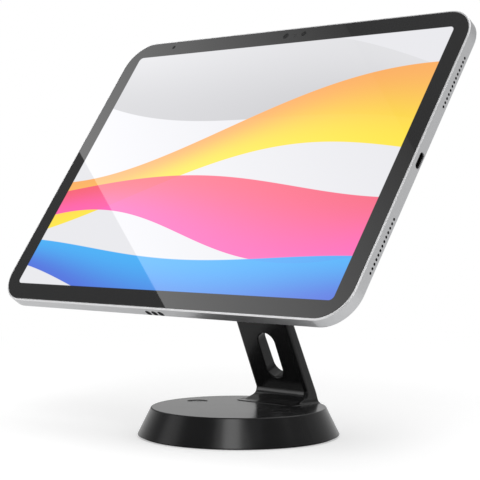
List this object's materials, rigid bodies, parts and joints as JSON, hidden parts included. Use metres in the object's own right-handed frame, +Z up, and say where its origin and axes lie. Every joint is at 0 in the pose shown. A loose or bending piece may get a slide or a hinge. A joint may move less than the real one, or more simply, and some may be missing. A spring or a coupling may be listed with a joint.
{
  "type": "tablet security kiosk stand",
  "caption": "Counter stand that locks a tablet on a tilting, swivelling head, on a leaning slotted arm and a weighted round base.",
  "frame": {"origin": "centre of the round base, on the counter", "axes": "+Z up; the screen faces -Y and leans back; +X to the right of someone facing the screen, along its long side"},
  "size_m": [0.249, 0.1159, 0.2159],
  "materials": {
    "black_paint": "satin black paint on cast aluminium",
    "ballast_steel": "plain turned steel",
    "foot_rubber": "matt moulded rubber",
    "screw_steel": "zinc-plated steel",
    "cap_plastic": "fine-grained black plastic",
    "washer_plastic": "natural acetal",
    "hub_metal": "black anodised aluminium",
    "lock_chrome": "satin chrome plate",
    "lock_plug_metal": "satin chrome plate",
    "bond_foam": "closed-cell adhesive foam",
    "tablet_aluminium": "bead-blasted silver anodising",
    "screen_glass": "gloss cover glass with a printed black border over the display",
    "display_plastic": "laminated display module",
    "battery_plastic": "pouch cells in black film",
    "board_plastic": "solder-masked board",
    "port_steel": "drawn steel shell",
    "port_plastic": "moulded tongue",
    "speaker_plastic": "moulded speaker box",
    "contact_black": "dark contact pads",
    "button_aluminium": "anodised silver",
    "camera_ring": "polished anodised ring",
    "lens_glass": "dark coated lens window",
    "camera_plastic": "camera module"
  },
  "bodies": {
    "base": {"base_shell": "black_paint", "base_ballast": "ballast_steel", "base_foot_pad": "foot_rubber", "ballast_screws": "screw_steel", "fixing_caps": "cap_plastic", "arm": "black_paint", "arm_screws": "screw_steel"},
    "tilt_head": {"head": "black_paint", "tilt_bolt": "screw_steel", "tilt_washers": "washer_plastic", "tilt_disc_spring": "screw_steel", "tilt_nut": "screw_steel", "tilt_caps": "cap_plastic", "swivel_bearing": "washer_plastic"},
    "tablet": {"swivel_hub": "hub_metal", "swivel_spring": "screw_steel", "swivel_ring_nut": "hub_metal", "lock_housing": "lock_chrome", "mounting_plate": "black_paint", "plate_dowels": "screw_steel", "bond_pad": "bond_foam", "tablet_housing": "tablet_aluminium", "front_glass": "screen_glass", "display_panel": "display_plastic", "battery_cells": "battery_plastic", "logic_board": "board_plastic", "port_shell": "port_steel", "port_tongue": "port_plastic", "speaker_units": "speaker_plastic", "contact_pads": "contact_black", "rear_camera": "camera_ring", "rear_camera_lens": "lens_glass", "front_camera": "camera_plastic"},
    "lock": {"lock_plug": "lock_plug_metal", "lock_cam": "screw_steel", "lock_cam_screw": "screw_steel"},
    "power_key": {"power_button": "button_aluminium"},
    "volume_up_key": {"volume_up_button": "button_aluminium"},
    "volume_down_key": {"volume_down_button": "button_aluminium"}
  },
  "joints": [
    {"name": "head_tilt", "type": "hinge", "parent": "base", "child": "tilt_head", "pos_m": [0, -0.00371, 0.10881], "axis": [-1, 0, 0], "range_deg": [-15, 40]},
    {"name": "tablet_swivel", "type": "hinge", "parent": "tilt_head", "child": "tablet", "pos_m": [0, -0.00202, 0.13568], "axis": [0, -0.8199, 0.5726], "range_deg": [-90, 90]},
    {"name": "lock_turn", "type": "hinge", "parent": "tablet", "child": "lock", "pos_m": [0, 0.00454, 0.1311], "axis": [0, 0.8199, -0.5726], "range_deg": [0, 90]},
    {"name": "power_button_press", "type": "slide", "parent": "tablet", "child": "power_key", "axis": [1, 0, 0], "range_m": [0, 0.00025], "stiffness_N_per_m": 2000, "springref_m": -0.0002},
    {"name": "volume_up_press", "type": "slide", "parent": "tablet", "child": "volume_up_key", "axis": [0, -0.5726, -0.8199], "range_m": [0, 0.00025], "stiffness_N_per_m": 2000, "springref_m": -0.0002},
    {"name": "volume_down_press", "type": "slide", "parent": "tablet", "child": "volume_down_key", "axis": [0, -0.5726, -0.8199], "range_m": [0, 0.00025], "stiffness_N_per_m": 2000, "springref_m": -0.0002}
  ]
}
